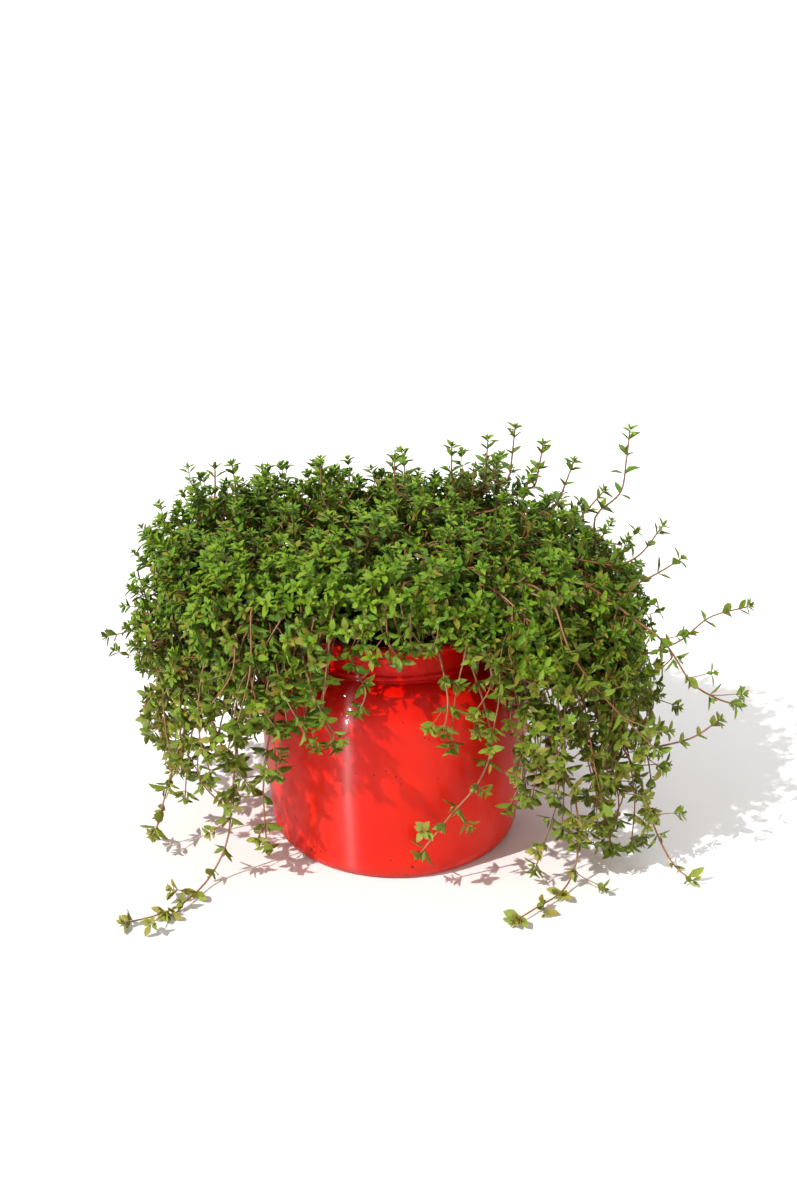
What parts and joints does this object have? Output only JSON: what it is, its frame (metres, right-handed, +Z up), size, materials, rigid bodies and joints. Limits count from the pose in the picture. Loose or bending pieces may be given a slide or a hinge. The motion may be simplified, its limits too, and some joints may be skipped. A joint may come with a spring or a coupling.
{
  "type": "potted thyme",
  "caption": "Creeping thyme in a round-shouldered glazed pot, its leafy stems mounded over the rim and trailing to the surface.",
  "frame": {"origin": "centre of the pot's flat base, on the surface that it stands on", "axes": "+Z up along the pot's axis; -Y towards the front, where the rim and the pot's side show between the trailing stems; +X to the right as seen from the front"},
  "size_m": [0.3443, 0.2446, 0.2241],
  "materials": {
    "pot": "gloss red glaze",
    "soil": "dark crumbly potting soil",
    "thyme_leaf": "soft satin green leaves",
    "thyme_stem": "thin reddish-brown stems, greener to the tips"
  },
  "bodies": {
    "root": {"pot": "pot", "soil": "soil", "crown_spray_1": "thyme_leaf", "upper_spray_1": "thyme_leaf", "upper_spray_2": "thyme_leaf", "upper_spray_3": "thyme_leaf", "upper_spray_4": "thyme_leaf", "upper_spray_5": "thyme_leaf", "middle_spray_1": "thyme_leaf", "middle_spray_2": "thyme_leaf", "middle_spray_3": "thyme_leaf", "middle_spray_4": "thyme_leaf", "middle_spray_5": "thyme_leaf", "middle_spray_6": "thyme_leaf", "middle_spray_7": "thyme_leaf", "middle_spray_8": "thyme_leaf", "lower_spray_1": "thyme_leaf", "lower_spray_2": "thyme_leaf", "lower_spray_3": "thyme_leaf", "lower_spray_4": "thyme_leaf", "lower_spray_5": "thyme_leaf", "lower_spray_6": "thyme_leaf", "lower_spray_7": "thyme_leaf", "lower_spray_8": "thyme_leaf", "lower_spray_9": "thyme_leaf", "lower_spray_10": "thyme_leaf", "outer_spray_1": "thyme_leaf", "outer_spray_2": "thyme_leaf", "outer_spray_3": "thyme_leaf", "outer_spray_4": "thyme_leaf", "outer_spray_5": "thyme_leaf", "outer_spray_6": "thyme_leaf", "outer_spray_7": "thyme_leaf", "outer_spray_8": "thyme_leaf", "trail_front_left_inner": "thyme_leaf", "trail_front_left_outer": "thyme_leaf", "trail_left_front_low": "thyme_leaf", "trail_left_front_long": "thyme_leaf", "trail_left_low": "thyme_leaf", "trail_left_middle": "thyme_leaf", "trail_left_back": "thyme_leaf", "trail_front_right_inner": "thyme_leaf", "trail_front_right_long": "thyme_leaf", "trail_right_front_long": "thyme_leaf", "trail_right_front_thick": "thyme_leaf", "trail_right_middle": "thyme_leaf", "trail_right_low": "thyme_leaf", "trail_right_far": "thyme_leaf", "trail_right_back": "thyme_leaf", "trail_back_1": "thyme_leaf", "trail_back_2": "thyme_leaf", "trail_back_3": "thyme_leaf", "trail_back_4": "thyme_leaf", "trail_back_5": "thyme_leaf"}
  },
  "joints": []
}
